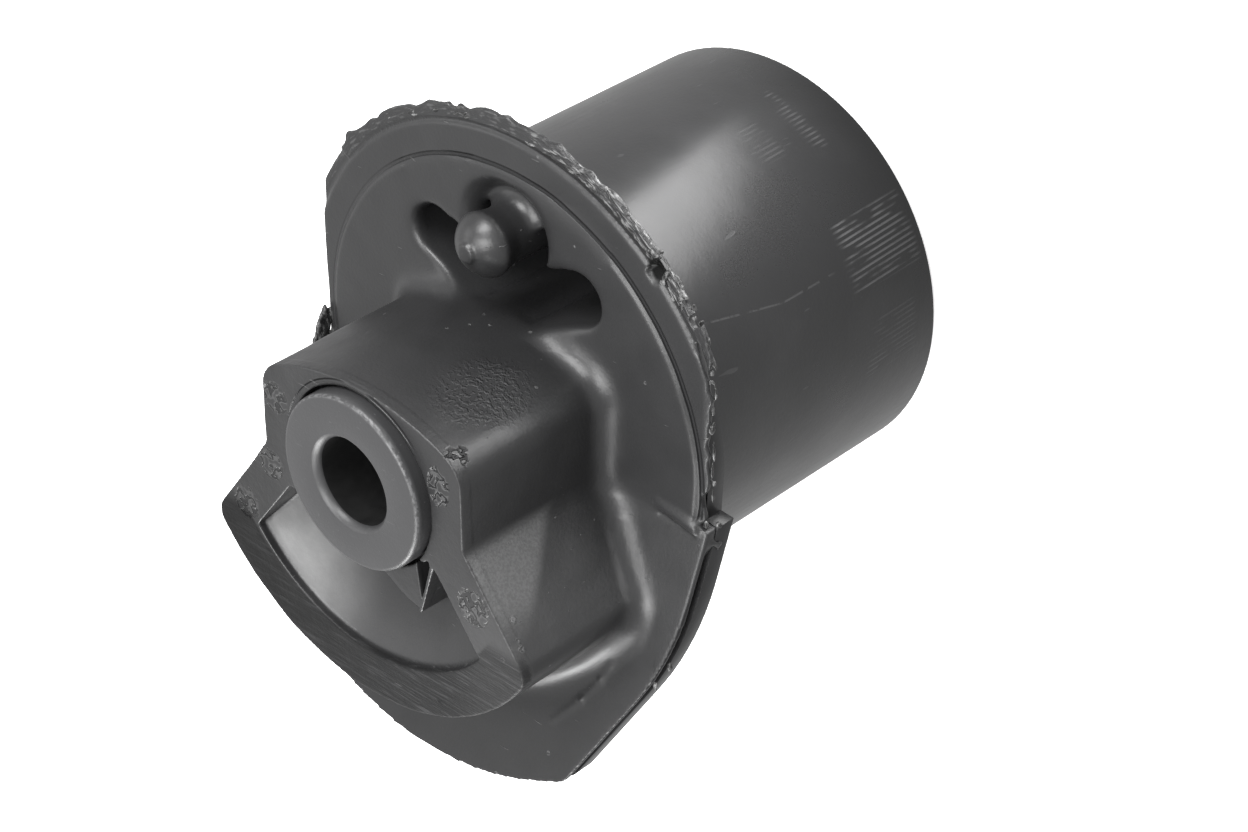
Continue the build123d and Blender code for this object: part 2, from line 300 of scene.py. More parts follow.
sleeve_shell = take_copy("sleeve_shell", "outer_sleeve")
soft_edge = sleeve_shell.modifiers.new("soft_edge", "BEVEL")
soft_edge.width = 0.00028
soft_edge.segments = 2
soft_edge.limit_method = "ANGLE"
soft_edge.angle_limit = math.radians(35)
apply_all(sleeve_shell)
sleeve_places = places_of(sleeve_shell)
put_places(sleeve_shell, sleeve_places + corner_pull(sleeve_places))
bpy.ops.object.shade_smooth_by_angle(angle=math.radians(30))

paint_black = (0.014, 0.014, 0.0145)
paint_scuffed = (0.13, 0.13, 0.132)
sleeve_paint = new_finish("sleeve_paint", (0.02, 0.02, 0.021), 0.30, 0.30)
sx, sy, sz = apart(sleeve_paint, place_on(sleeve_paint))
sleeve_turn = step(sleeve_paint, "MULTIPLY", step(sleeve_paint, "ARCTAN2", sy, sx), 180 / math.pi)
rolled_lines = None
for low, high, first, last, strength in (
        (1.5, 16.5, 20, 40, 1.0), (7, 11, 57, 82, 0.5), (4, 16, -4, 13, 0.35), (14, 20, 60, 74, 0.25)):
    block = times(sleeve_paint, fade(sleeve_paint, sz, low, low + 1.5), fade(sleeve_paint, sz, high, high - 2.5),
                  fade(sleeve_paint, sleeve_turn, first, first + 1.5),
                  fade(sleeve_paint, sleeve_turn, last, last - 1.5), strength)
    rolled_lines = block if rolled_lines is None else most(sleeve_paint, rolled_lines, block)
line_pitch_degrees = 1.45
line_turn = step(sleeve_paint, "MULTIPLY", sleeve_turn, 2 * math.pi / line_pitch_degrees)
line_wave = step(sleeve_paint, "SINE", step(sleeve_paint, "MULTIPLY_ADD", sz, 0.22, line_turn))
line_break = fade(sleeve_paint, grain(sleeve_paint, 2.2, stretch=(1, 1, 2.5)), 0.36, 0.56)
scored = times(sleeve_paint, fade(sleeve_paint, line_wave, -0.1, 0.8), line_break, rolled_lines)

# The seam scratch runs straight up the sleeve and bends off above 28.8 mm.
seam_bend_z, seam_slope, seam_turn = 28.8, 0.385, 28.65
past_bend = step(sleeve_paint, "MAXIMUM", step(sleeve_paint, "SUBTRACT", sz, seam_bend_z), 0.0)
seam_path = step(sleeve_paint, "SUBTRACT", sleeve_turn,
                 step(sleeve_paint, "MULTIPLY_ADD", past_bend, seam_slope, seam_turn))
seam_scratch = times(sleeve_paint, fade(sleeve_paint, step(sleeve_paint, "ABSOLUTE", seam_path), 0.40, 0.10),
                     fade(sleeve_paint, sz, 17.5, 20.0), fade(sleeve_paint, sz, 43.5, 40.0),
                     fade(sleeve_paint, grain(sleeve_paint, 1.6), 0.42, 0.52))
ticks = grain(sleeve_paint, 1.3, detail=1.0, stretch=(1, 1, 3.5), turn=(0.25, 0.1, 0))
ticks = fade(sleeve_paint, ticks, 0.735, 0.775)
scuffed = most(sleeve_paint, scored, times(sleeve_paint, seam_scratch, 0.35), times(sleeve_paint, ticks, 0.22))
bloom = grain(sleeve_paint, 14.0, detail=3.0)
sleeve_pale = most(sleeve_paint, times(sleeve_paint, scuffed, 0.55),
                   times(sleeve_paint, fade(sleeve_paint, bloom, 0.45, 0.75), 0.05))
sleeve_rough = step(sleeve_paint, "ADD", fade(sleeve_paint, bloom, 0.3, 0.7, 0.25, 0.31),
                    times(sleeve_paint, grain(sleeve_paint, 0.35, detail=3.0), 0.05))
sleeve_relief = raise_skin(sleeve_paint, grain(sleeve_paint, 0.5, detail=3.0), 0.012)
sleeve_relief = raise_skin(sleeve_paint, bloom, 0.25, 0.6, sleeve_relief)
sleeve_relief = raise_skin(sleeve_paint, scuffed, -0.05, 1.0, sleeve_relief)
lay_on(sleeve_paint, tint(sleeve_paint, sleeve_pale, paint_black, paint_scuffed), sleeve_rough, sleeve_relief)
sleeve_shell.data.materials.clear()
sleeve_shell.data.materials.append(sleeve_paint)
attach(sleeve_shell, "root")
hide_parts("outer_sleeve")


# Inner tube: thick steel tube for the bolt, faced off, its edges rounded and coated dark. Its front edge is pale on the
# upper side, partly rubbed coat and partly painted highlight; its side and bore are painted near black as painted
# shade.
def round_out(finish, x, y):
    """The distance from the bore's line in millimetres."""
    return step(finish, "SQRT", step(finish, "ADD", step(finish, "MULTIPLY", x, x), step(finish, "MULTIPLY", y, y)))


def drawn_grain(finish, turn, out, up, size, longer):
    """Grain drawn out round the bore's line, as turning marks and torn rubber are."""
    rim_r = 39.0
    lie = finish.node_tree.nodes.new("ShaderNodeCombineXYZ")
    for place, value in enumerate((step(finish, "MULTIPLY", turn, rim_r / longer), out, up)):
        finish.node_tree.links.new(value, lie.inputs[place])
    cloud = finish.node_tree.nodes.new("ShaderNodeTexNoise")
    cloud.inputs["Scale"].default_value = 1.0 / size
    cloud.inputs["Detail"].default_value = 3.0
    finish.node_tree.links.new(lie.outputs["Vector"], cloud.inputs["Vector"])
    return cloud.outputs["Fac"]


def darken_reflection(finish, mask, left):
    """Darkens the reflection where the mask is 1 to the given part; used for dull skin and for painted shade."""
    shader = finish.node_tree.nodes["Principled BSDF"]
    finish.node_tree.links.new(tint(finish, mask, (1.0, 1.0, 1.0), (left, left, left)), shader.inputs["Specular Tint"])


# Half the tube's section as (radius, height) in millimetres, from the rear end up the outside and down the bore.
tube_section = ((11.6, 1.0), (12.1, 1.2), (12.3, 1.7), (12.3, 40), (12.3, 78.2), (12.3, 80.1), (12.26, 80.4),
                (12.13, 80.7), (11.92, 80.9), (11.6, 81), (9.2, 81), (7.05, 81), (6.88, 80.95), (6.5, 80.55),
                (6.28, 80.2), (6.2, 79.9), (6.2, 79.5), (6.2, 40), (6.2, 2.2), (6.35, 1.6), (6.9, 1.1), (7.3, 1.0))
bpy.ops.object.select_all(action="DESELECT")
bpy.ops.mesh.primitive_circle_add(vertices=144, radius=tube_section[0][0] / 1000,
                                  location=(0, 0, tube_section[0][1] / 1000))
tube_turned = bpy.context.object
tube_turned.name = "tube_turned"
bpy.ops.object.mode_set(mode="EDIT")
for (r, z), (next_r, next_z) in zip(tube_section, tube_section[1:]):
    bpy.ops.mesh.extrude_region_move(TRANSFORM_OT_translate={"value": (0, 0, (next_z - z) / 1000)})
    bpy.ops.transform.resize(value=(next_r / r, next_r / r, 1))
bpy.ops.mesh.select_all(action="DESELECT")
bpy.ops.mesh.select_non_manifold(extend=False)
bpy.ops.mesh.bridge_edge_loops()
bpy.ops.mesh.select_all(action="SELECT")
bpy.ops.mesh.normals_make_consistent(inside=False)
bpy.ops.object.mode_set(mode="OBJECT")
bpy.ops.object.transform_apply(location=True, rotation=True, scale=True)
bpy.ops.object.shade_smooth_by_angle(angle=math.radians(40))

coat_dark = (0.032, 0.032, 0.033)
# The pale colour serves specks, scratches and the painted highlight on the front edge.
coat_wear_and_highlight = (0.16, 0.16, 0.163)
tube_coat = new_finish("tube_coat", (0.03, 0.03, 0.031), 0.40, 0.35)
tx, ty, tz = apart(tube_coat, place_on(tube_coat))
tube_out = round_out(tube_coat, tx, ty)
tube_turn = step(tube_coat, "ARCTAN2", ty, tx)
edge_streaks = fade(tube_coat, drawn_grain(tube_coat, tube_turn, tube_out, tz, 0.5, 3.5), 0.40, 0.60)
# Painted highlight and wear: a thin pale band on the outer edge of the tube's face, on its upper side only, streaked
# round the ring.
edge_wear_and_highlight = times(tube_coat, fade(tube_coat, tube_out, 11.85, 12.0), fade(tube_coat, tube_out, 12.28, 12.18),
                  fade(tube_coat, ty, -6.0, 4.0), edge_streaks)
tube_specks = times(tube_coat, fade(tube_coat, grain(tube_coat, 0.35, detail=1.0), 0.74, 0.78), 0.4)
tube_scratch = grain(tube_coat, 0.5, detail=1.0, stretch=(7, 0.6, 1), turn=(0, 0, 0.5))
tube_scratch = fade(tube_coat, tube_scratch, 0.74, 0.78)
tube_marks_and_highlight = most(tube_coat, times(tube_coat, most(tube_coat, edge_wear_and_highlight, tube_specks), 0.38),
                 times(tube_coat, tube_scratch, 0.25))
tube_rough = step(tube_coat, "ADD", times(tube_coat, grain(tube_coat, 0.6, detail=4.0), 0.12), 0.34)
tube_relief = raise_skin(tube_coat, grain(tube_coat, 0.45, detail=4.0, rough=0.6), 0.025)
tube_relief = raise_skin(tube_coat, grain(tube_coat, 5.0, detail=2.0), 0.12, 0.7, tube_relief)
lay_on(tube_coat, tint(tube_coat, tube_marks_and_highlight, coat_dark, coat_wear_and_highlight), tube_rough, tube_relief)
# Painted shade: the tube's side just below its face, on the right, mirrors only a tenth, for the shade in the gap by
# the lip.
darken_reflection(tube_coat, times(tube_coat, fade(tube_coat, tz, 80.25, 79.9), fade(tube_coat, tx, -1.0, 7.0)), 0.10)

# Painted shade: the tube's side and its bore get a near-black dull finish for the shade they lie in.
tube_painted_shade = new_finish("tube_painted_shade", (0.006, 0.006, 0.006), 0.55, 0.12)
lay_on(tube_painted_shade, tint(tube_painted_shade, grain(tube_painted_shade, 1.5, detail=3.0), (0.004, 0.004, 0.004), (0.012, 0.012, 0.012)),
       step(tube_painted_shade, "ADD", times(tube_painted_shade, grain(tube_painted_shade, 0.5), 0.2), 0.42),
       raise_skin(tube_painted_shade, grain(tube_painted_shade, 0.8, stretch=(1, 1, 4)), 0.03))
tube_turned.data.materials.clear()
tube_turned.data.materials.append(tube_coat)
tube_turned.data.materials.append(tube_painted_shade)
for face in tube_turned.data.polygons:
    in_bore = Vector(face.center[:2]).length < 0.010
    if 0.0020 < face.center.z < 0.0799 and (in_bore or face.center.z < 0.0790):
        face.material_index = 1
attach(tube_turned, "root")
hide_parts("inner_tube")


# Rubber body: one black moulding bonded to sleeve and tube, every edge softened by the mould. Its rim is torn where the
# flash was pulled off, the foot of the nose is cut off matt, the leg still carries mould powder, and the pocket's left
# side is painted pale as painted light.
def relax(piece, chosen, rounds):
    """Smooths the chosen vertices of the active piece a number of times."""
    mesh = piece.data
    mesh.vertices.foreach_set("select", chosen)
    mesh.edges.foreach_set("select", np.zeros(len(mesh.edges), dtype=bool))
    mesh.polygons.foreach_set("select", np.zeros(len(mesh.polygons), dtype=bool))
    bpy.ops.object.mode_set(mode="EDIT")
    bpy.ops.mesh.select_mode(type="VERT")
    bpy.ops.mesh.vertices_smooth(factor=0.5, repeat=rounds)
    bpy.ops.mesh.select_all(action="DESELECT")
    bpy.ops.object.mode_set(mode="OBJECT")


def beside_line(places, start, end, width):
    """How far along a line each place lies, and how close to it: 1 on the line, fading over the width."""
    along = np.clip((places - start) @ (end - start) / np.dot(end - start, end - start), 0, 1)
    away = np.linalg.norm(places - start - along[:, None] * (end - start), axis=1)
    return along, np.exp(-(away / width) ** 2)


def near(finish, place, centre, reach, edge, squash=(1, 1, 1)):
    """1 within reach of a point in millimetres, fading to 0 at its edge."""
    nodes, links = finish.node_tree.nodes, finish.node_tree.links
    off = nodes.new("ShaderNodeVectorMath")
    off.operation = "SUBTRACT"
    off.inputs[1].default_value = centre
    links.new(place, off.inputs[0])
    press = nodes.new("ShaderNodeVectorMath")
    press.operation = "MULTIPLY"
    press.inputs[1].default_value = [1 / s for s in squash]
    links.new(off.outputs["Vector"], press.inputs[0])
    far = nodes.new("ShaderNodeVectorMath")
    far.operation = "LENGTH"
    links.new(press.outputs["Vector"], far.inputs[0])
    return fade(finish, far.outputs["Value"], reach, reach * (1 - edge))


moulding = take_copy("rubber_moulding", "rubber_body")

# Small blocks cut the notches out of the rim: place, length, width and depth in millimetres, turn in degrees.
tears = []
for x, y, z, length, width, depth, turn in (
        (25.9, 29.1, 52.8, 2.1, 3.4, 3.0, 48), (17.3, 36.2, 52.4, 1.4, 1.3, 1.2, 64),
        (31.9, 24.2, 51.6, 1.5, 1.6, 3.0, 37), (33.4, 18.9, 51.4, 5.2, 0.7, 2.4, 27),
        (34.8, 15.5, 51.9, 2.6, 0.55, 1.8, 8), (-31.7, 25.0, 51.6, 1.3, 0.8, 1.6, 141),
        (-9.4, 39.6, 51.8, 1.6, 1.1, 2.4, 103), (-35.3, -7.6, 51.6, 2.6, 0.9, 1.6, 90)):
    bpy.ops.object.select_all(action="DESELECT")
    bpy.ops.mesh.primitive_cube_add(size=0.001, location=(x / 1000, y / 1000, z / 1000),
                                    rotation=(0.25, 0.2, math.radians(turn + 90)), scale=(length, width, depth))
    tears.append(bpy.context.object)
for tear in tears:
    cut = moulding.modifiers.new("torn_out", "BOOLEAN")
    cut.operation = "DIFFERENCE"
    cut.solver = "EXACT"
    cut.object = tear
apply_all(moulding)
for tear in tears:
    bpy.data.objects.remove(tear)
skin = moulding.modifiers.new("skin", "REMESH")
skin.mode = "VOXEL"
skin.voxel_size = 0.00024
soften = moulding.modifiers.new("soften", "SMOOTH")
soften.factor = 0.5
soften.iterations = 7
apply_all(moulding)

# The mouth of the slot and the two ends of the fold run softly into the disc.
well_x, well_y = 0.4, 24.6
places = places_of(moulding)
px, py, pz = places.T
off_well = np.hypot(px - well_x, py - well_y)
at_mouth = (np.abs(px) < 18.5) & (py > 12.4) & (py < 32.5) & (pz > 50.6) & (pz < 56.0) & (off_well > 5.3)
at_fold = (np.abs(px) > 14) & (np.abs(px) < 29) & (py > -8) & (py < 0.5) & (pz > 51.5) & (pz < 60)
relax(moulding, at_mouth | at_fold, 60)

# A low crease frames the ear, and a wedge with a groove behind it runs out along the fold to the rim.
ear_crease = np.array(((26.8, -25.4, 61.1), (25.5, -28.3, 62.2), (23.3, -31.9, 63.7), (19.8, -36.2, 65.4)))
crease_lift, crease_width = 0.16, 0.55
fold_wedge = (((26.9, -4.3, 52.9), (33.4, -4.9, 52.6), 0.75, 0.75), ((27.6, -5.6, 53.1), (33.4, -6.1, 52.9), -0.55, 0.40))
places = places_of(moulding)
for side in (1, -1):
    mirrored = np.array((side, 1, 1))
    for start, end in zip(ear_crease * mirrored, ear_crease[1:] * mirrored):
        along, close = beside_line(places, start, end, crease_width)
        places[:, 2] += crease_lift * close
    for start, end, lift, width in fold_wedge:
        along, close = beside_line(places, start * mirrored, end * mirrored, width)
        places[:, 2] += lift * np.sqrt(along + 0.15) * close
places += corner_pull(places)

# The mouth of the well is dished all round its upper side, and the nipple stands on a narrower neck in it.
px, py, pz = places.T
off_well = np.hypot(px - well_x, py - well_y)
upper = np.clip((py - np.where(px > well_x, 15.0, 18.5)) / 3.0, 0, 1)
at_lip = (off_well > 5.2) & (off_well < 9.6) & (pz > 44) & (pz < 54)
dish_depth = 1.25
dish = np.clip(1 - (off_well - 5.8) / 2.2, 0, 1)
dish_deep = np.clip((pz - 44) / 7.0, 0, 1)
pz[at_lip] -= (dish_depth * dish ** 2 * (3 - 2 * dish) * upper * dish_deep)[at_lip]
neck = (off_well < 5.2) & (pz < 57.5) & (pz > 41.5)
neck_share = 0.16
squeeze = np.clip((57.5 - pz) / 4.0, 0, 1) * np.clip((pz - 41.5) / 3.0, 0, 1)
squeeze = neck_share * squeeze * squeeze * (3 - 2 * squeeze)
px[neck] += ((well_x - px) * squeeze)[neck]
py[neck] += ((well_y - py) * squeeze)[neck]
put_places(moulding, places)
in_well = (off_well < 10.5) & (py > 14.0) & (pz > 42) & (pz < np.where(off_well > 5.4, 54.0, 52.8))
relax(moulding, in_well, 40)

waves_in_mould = bpy.data.textures.new("waves_in_mould", "CLOUDS")
waves_in_mould.noise_scale = 0.011
waves = moulding.modifiers.new("waves", "DISPLACE")
waves.texture = waves_in_mould
waves.texture_coords = "LOCAL"
waves.mid_level = 0.62
waves.strength = 0.00035
most_faces = 190000
thin = moulding.modifiers.new("thin", "DECIMATE")
thin.ratio = min(1.0, most_faces / (2 * len(moulding.data.polygons)))
apply_all(moulding)
bpy.ops.object.shade_smooth()

rubber = new_finish("moulded_rubber", (0.02, 0.02, 0.0205), 0.40, 0.35)
here = place_on(rubber)
rx, ry, rz = apart(rubber, here)
face_up = step(rubber, "ABSOLUTE", apart(rubber, rubber.node_tree.nodes["Texture Coordinate"].outputs["Normal"])[2])

# The foot of the nose: its cut face with drawn lines, the pocket with painted light on its left side, and the front
# face.
foot_out = round_out(rubber, step(rubber, "ADD", rx, 0.7), ry)
front = fade(rubber, rz, 76.9, 77.5)
cut_band = times(rubber, fade(rubber, foot_out, 26.9, 27.5), fade(rubber, ry, -13.5, -16.5),
                 fade(rubber, rz, 77.0, 77.9))
cut_lines = grain(rubber, 0.60, detail=4.0, stretch=(12, 0.8, 1), turn=(0, 0, 0.06), rough=0.6)
in_pocket = times(rubber, fade(rubber, foot_out, 27.5, 26.8), fade(rubber, ry, -4.5, -9.0),
                  fade(rubber, rz, 70.5, 72.2), fade(rubber, rz, 78.5, 77.9), fade(rubber, face_up, 0.25, 0.55))
# Painted light: the lit left side of the pocket is painted pale and mottled.
pocket_painted_light = times(rubber, in_pocket, fade(rubber, rx, 0.0, -16.0),
               fade(rubber, grain(rubber, 3.5, detail=5.0), 0.25, 0.75, 0.72, 1.0))

# Moulded marks on the front of the nose and its legs, as loops of a sunk stroke with a raised edge.
marks = most(rubber, *[near(rubber, here, centre, reach, 0.25, squash) for centre, reach, squash in (
    ((-15.6, 5.2, 79), 2.5, (1, 1, 1)), ((-17.4, -5.8, 79), 2.5, (1, 1, 1)), ((-23.1, -14.5, 79), 2.7, (1, 1, 1)),
    ((14.2, 5.2, 79), 2.4, (0.85, 1.3, 1)), ((19.8, -10.3, 79), 3.0, (1, 1, 1)), ((17.3, 11.5, 77.4), 2.9, (1, 1, 1)))])
stroke = step(rubber, "ABSOLUTE", step(rubber, "SUBTRACT", grain(rubber, 1.45, detail=1.0), 0.5))
marked = times(rubber, marks, fade(rubber, stroke, 0.075, 0.030))
mark_edge = times(rubber, marks, fade(rubber, stroke, 0.05, 0.085), fade(rubber, stroke, 0.16, 0.12))

# Skin of the nose: a stippled patch on the crown, frost on the outside of the right leg, bright specks, scratches.
stippled = times(rubber, near(rubber, here, (10.8, 13.6, 67.5), 8.8, 0.5, (0.80, 1.0, 1.05)),
                 fade(rubber, grain(rubber, 0.60, detail=2.0), 0.46, 0.62))
off_ear = step(rubber, "SUBTRACT", step(rubber, "MULTIPLY_ADD", ry, 1.185, rz), 59.33)
frosted = times(rubber, fade(rubber, rz, 78.95, 78.4), fade(rubber, off_ear, -1.2, 1.6),
                fade(rubber, rx, 15.5, 17.5), fade(rubber, ry, -2.4, -4.6), fade(rubber, ry, -14.5, -9.0),
                fade(rubber, grain(rubber, 0.35, detail=4.0), 0.35, 0.65, 0.65, 1.0))
specks = most(rubber, *[near(rubber, here, centre, reach, 0.6) for centre, reach in (
    ((-0.7, 13.4, 55.8), 0.42), ((-0.3, 13.5, 58.8), 0.30), ((1.6, 13.5, 57.1), 0.30), ((6.4, 13.4, 54.6), 0.40),
    ((-1.9, 13.6, 61.3), 0.34), ((-8.2, 13.4, 67.0), 0.34), ((5.9, 37.4, 52.3), 0.26), ((12.6, 27.5, 52.9), 0.26),
    ((24.6, 12.7, 52.9), 0.36), ((20.6, -40.3, 67.0), 0.42), ((-15.0, 18.0, 52.9), 0.3), ((24.2, -11.3, 76.5), 0.7),
    ((23.4, -12.6, 76.8), 0.5), ((25.6, -13.4, 77.2), 0.6), ((26.3, -14.3, 77.4), 0.8), ((24.8, -15.8, 78.6), 0.7))])
specks = times(rubber, specks, fade(rubber, grain(rubber, 0.35), 0.40, 0.55))
scratches = grain(rubber, 0.7, detail=1.0, stretch=(6, 0.7, 2), turn=(0.1, 0.4, 0.9))
scratches = fade(rubber, scratches, 0.76, 0.80)

# Rim, disc and lip: torn streaks along the frayed part of the rim, a fine groove round the disc and one in the lip.
rim_out = round_out(rubber, rx, ry)
rim_turn = step(rubber, "ARCTAN2", ry, rx)
rim_zone = times(rubber, fade(rubber, rz, 53.0, 52.6), fade(rubber, rz, 50.2, 50.5), fade(rubber, rim_out, 38.5, 39.0),
                 fade(rubber, ry, -3.0, 3.0))
rim_streaks = drawn_grain(rubber, rim_turn, rim_out, rz, 0.42, 4.0)
frayed_part = times(rubber, fade(rubber, rim_turn, 0.62, 0.74), fade(rubber, rim_turn, 1.50, 1.38))
torn_rim = times(rubber, rim_zone, fade(rubber, rim_streaks, 0.54, 0.66),
                 step(rubber, "MULTIPLY_ADD", frayed_part, 0.75, 0.25))
disc_line = times(rubber, fade(rubber, rim_out, 33.40, 33.68), fade(rubber, rim_out, 34.15, 33.85),
                  fade(rubber, ry, -4.5, -3.5), fade(rubber, rz, 54.0, 53.5), fade(rubber, rx, -26.0, -12.0, 0.2, 1.0))
lip_line = times(rubber, fade(rubber, rim_out, 13.15, 13.35), fade(rubber, rim_out, 13.80, 13.50),
                 fade(rubber, ry, 2.0, 6.0), fade(rubber, rx, 11.0, 7.0), fade(rubber, rz, 78.0, 78.5))
# Painted shadow: the floor of the deep notch in the rim is painted black and mirrors little.
notch_painted_shadow = near(rubber, here, (25.9, 29.1, 51.4), 2.1, 0.3)

rubber_black = (0.018, 0.018, 0.0185)
rubber_pale = (0.32, 0.32, 0.32)
# The pale colour serves real marks and painted light: the pocket's lit left side and, faintly, the front of the right
# leg.
pale = most(rubber, times(rubber, pocket_painted_light, 0.30), times(rubber, frosted, 0.20), times(rubber, mark_edge, 0.10),
            times(rubber, specks, 0.22), times(rubber, torn_rim, 0.42), times(rubber, scratches, 0.12),
            times(rubber, front, fade(rubber, rx, 14.0, 22.0), fade(rubber, ry, -4.0, -12.0), 0.045),
            times(rubber, cut_band, fade(rubber, cut_lines, 0.52, 0.72), fade(rubber, rx, -6.0, 14.0), 0.07))
rubber_grey = tint(rubber, pale, rubber_black, rubber_pale)
cut_dark = times(rubber, cut_band, fade(rubber, rx, 14.0, -16.0, 0.45, 0.85), fade(rubber, cut_lines, 0.70, 0.50))
rubber_grey = tint(rubber, cut_dark, rubber_grey, (0.006, 0.006, 0.006))
# Painted shade: the front of the left leg is darkened toward black, and so is the floor of the rim notch.
shaded = most(rubber, notch_painted_shadow, times(rubber, front, fade(rubber, rx, -12.0, -20.0), 0.45))
rubber_grey = tint(rubber, shaded, rubber_grey, (0.004, 0.004, 0.004))
rubber_rough = fade(rubber, grain(rubber, 6.0, detail=3.0), 0.3, 0.7, 0.33, 0.40)
rubber_rough = step(rubber, "ADD", rubber_rough, times(rubber, cut_band, 0.20))
rubber_rough = step(rubber, "ADD", rubber_rough, times(rubber, most(rubber, in_pocket, frosted), 0.08))
rubber_relief = None
for height, distance, strength in (
        (grain(rubber, 0.5, detail=3.0), 0.022, 1.0),
        (times(rubber, front, grain(rubber, 1.3, detail=4.0)), 0.09, 0.8),
        (times(rubber, cut_band, cut_lines, fade(rubber, rx, -20.0, 12.0, 0.25, 1.0)), 0.13, 1.0),
        (disc_line, -0.30, 1.0), (lip_line, -0.22, 1.0), (marked, -0.40, 1.0), (stippled, 0.06, 1.0),
        (times(rubber, rim_zone, rim_streaks, step(rubber, "MULTIPLY_ADD", frayed_part, 0.7, 0.3)), 0.45, 1.0),
        (most(rubber, scratches, specks), 0.06, 1.0)):
    rubber_relief = raise_skin(rubber, height, distance, strength, rubber_relief)
lay_on(rubber, rubber_grey, rubber_rough, rubber_relief)

# Where the rubber was cut its skin is dull and mirrors less. In the voids, the lip gap, the groove round the disc, the
# notch floor and on the ear's side faces the reflection is darkened as painted shade.
ear_side_out = step(rubber, "MULTIPLY_ADD", step(rubber, "ABSOLUTE", rx), 0.55, step(rubber, "MULTIPLY", ry, -0.42))
ear_side = times(rubber, fade(rubber, face_up, 0.75, 0.45), fade(rubber, ry, -9.0, -11.0),
                 fade(rubber, rz, 69.5, 69.0), fade(rubber, ear_side_out, 24.5, 26.0))
in_void = times(rubber, fade(rubber, rz, 51.6, 49.8), fade(rubber, rim_out, 31.5, 30.5))
lip_void = times(rubber, fade(rubber, rim_out, 12.9, 12.75), fade(rubber, rz, 70.0, 72.0))
darken_reflection(rubber, most(rubber, cut_band, times(rubber, marked, 0.85), times(rubber, in_void, 0.75), disc_line,
                         ear_side, lip_void, notch_painted_shadow), 0.06)
moulding.data.materials.clear()
moulding.data.materials.append(rubber)
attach(moulding, "root")
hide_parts("rubber_body")


# Torn flash: the thin rubber that squeezed out between the halves of the mould, pulled off by hand and left as
# frayed strips and crumbs along the rim of the flange.
random.seed(11)
crumbs = []
torn_noise = bpy.data.textures.new("torn_noise", "CLOUDS")
torn_noise.noise_scale = 0.0007


def add_crumb(x, y, z, along, across, height, turn, lean=0.0):
    """One crumb of torn rubber in millimetres; turn is the way it lies, lean how it stands up."""
    bpy.ops.object.select_all(action="DESELECT")
    bpy.ops.mesh.primitive_ico_sphere_add(subdivisions=2, radius=0.001, location=(x / 1000, y / 1000, z / 1000),
                                          rotation=(lean, 0, math.radians(turn)), scale=(along, across, height))
    crumbs.append(bpy.context.object)


def rim_crumb(angle, out, z, along, across, height, skew=0.0, lean=0.0):
    """A crumb at an angle of the round rim, lying along it."""
    a = math.radians(angle)
    add_crumb(out * math.cos(a), out * math.sin(a), z, along, across, height, angle + 90 + skew, lean)


def knit_crumbs(name, settle_rounds, most_faces):
    """Joins the crumbs made so far into one piece with a frayed skin and at most the given number of triangles."""
    bpy.ops.object.select_all(action="DESELECT")
    for crumb in crumbs:
        crumb.select_set(True)
    bpy.context.view_layer.objects.active = crumbs[0]
    bpy.ops.object.join()
    piece = bpy.context.object
    piece.name = name
    crumbs.clear()
    bpy.ops.object.transform_apply(location=True, rotation=True, scale=True)
    knit = piece.modifiers.new("knit", "REMESH")
    knit.mode = "VOXEL"
    knit.voxel_size = 0.00012
    fray = piece.modifiers.new("fray", "DISPLACE")
    fray.texture = torn_noise
    fray.texture_coords = "LOCAL"
    fray.mid_level = 0.55
    fray.strength = 0.00028
    settle = piece.modifiers.new("settle", "SMOOTH")
    settle.factor = 0.4
    settle.iterations = settle_rounds
    apply_all(piece)
    thin = piece.modifiers.new("thin", "DECIMATE")
    thin.ratio = min(1.0, most_faces / (2 * len(piece.data.polygons)))
    apply_all(piece)
    bpy.ops.object.shade_smooth()
    return piece


for i in range(46):
    angle = 60 + 24 * (i + random.random()) / 46
    rim_crumb(angle, random.uniform(38.9, 40.1), random.uniform(51.3, 52.1), random.uniform(0.6, 1.5),
              random.uniform(0.16, 0.25), random.uniform(0.16, 0.32), random.uniform(-16, 16), random.uniform(-0.4, 0.4))
for i in range(8):
    rim_crumb(72.3 - 0.75 * i, random.uniform(39.1, 40.0), random.uniform(51.5, 52.0), random.uniform(0.5, 0.8),
              random.uniform(0.35, 0.55), random.uniform(0.35, 0.5), random.uniform(-25, 25))
for angle, out in ((61.5, 40.35), (59.6, 40.4), (57.7, 40.45), (55.8, 40.45), (53.9, 40.45), (52.2, 40.4)):
    rim_crumb(angle, out, 51.7, 0.85, 0.17, 0.38, random.uniform(-4, 4), 0.3)
    rim_crumb(angle - 0.6, out - 1.15, 52.1, 0.80, 0.15, 0.30, random.uniform(-9, 9), -0.2)
